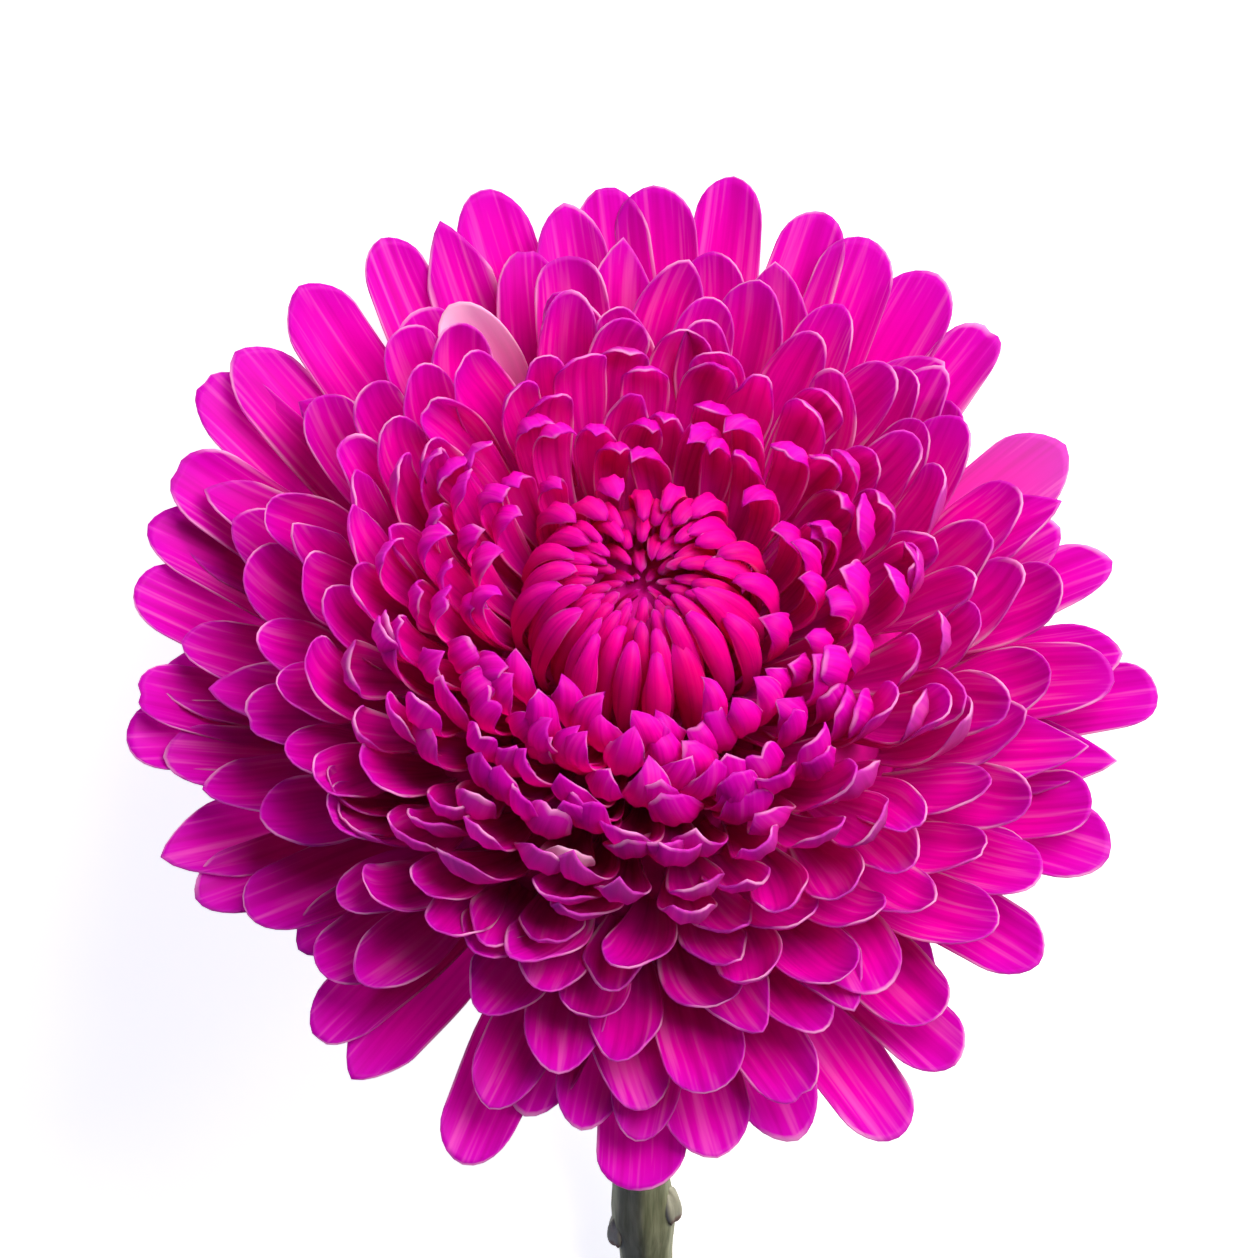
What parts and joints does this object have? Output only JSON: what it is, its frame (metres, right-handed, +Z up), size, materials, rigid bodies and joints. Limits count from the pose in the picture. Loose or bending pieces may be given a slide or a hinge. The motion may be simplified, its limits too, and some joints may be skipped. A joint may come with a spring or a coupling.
{
  "type": "pompon chrysanthemum",
  "caption": "Cut pompon chrysanthemum lying down: dense dome of magenta ray florets with pale rims, incurved heart, green cup of bracts and a bowed bare stem",
  "frame": {"origin": "on the table under the middle of the whole flower's box", "axes": "+Z up from the table; the face of the bloom looks along -Y and 30 degrees up; the stem lies towards +Y; X is across the bloom"},
  "size_m": [0.1041, 0.203, 0.0841],
  "materials": {
    "ray_floret": "satin",
    "heart_floret": "satin",
    "bract": "matte",
    "stem": "matte"
  },
  "bodies": {
    "root": {"ray_florets": "ray_floret", "heart_florets": "heart_floret", "involucre": "bract", "stem": "stem"}
  },
  "joints": []
}
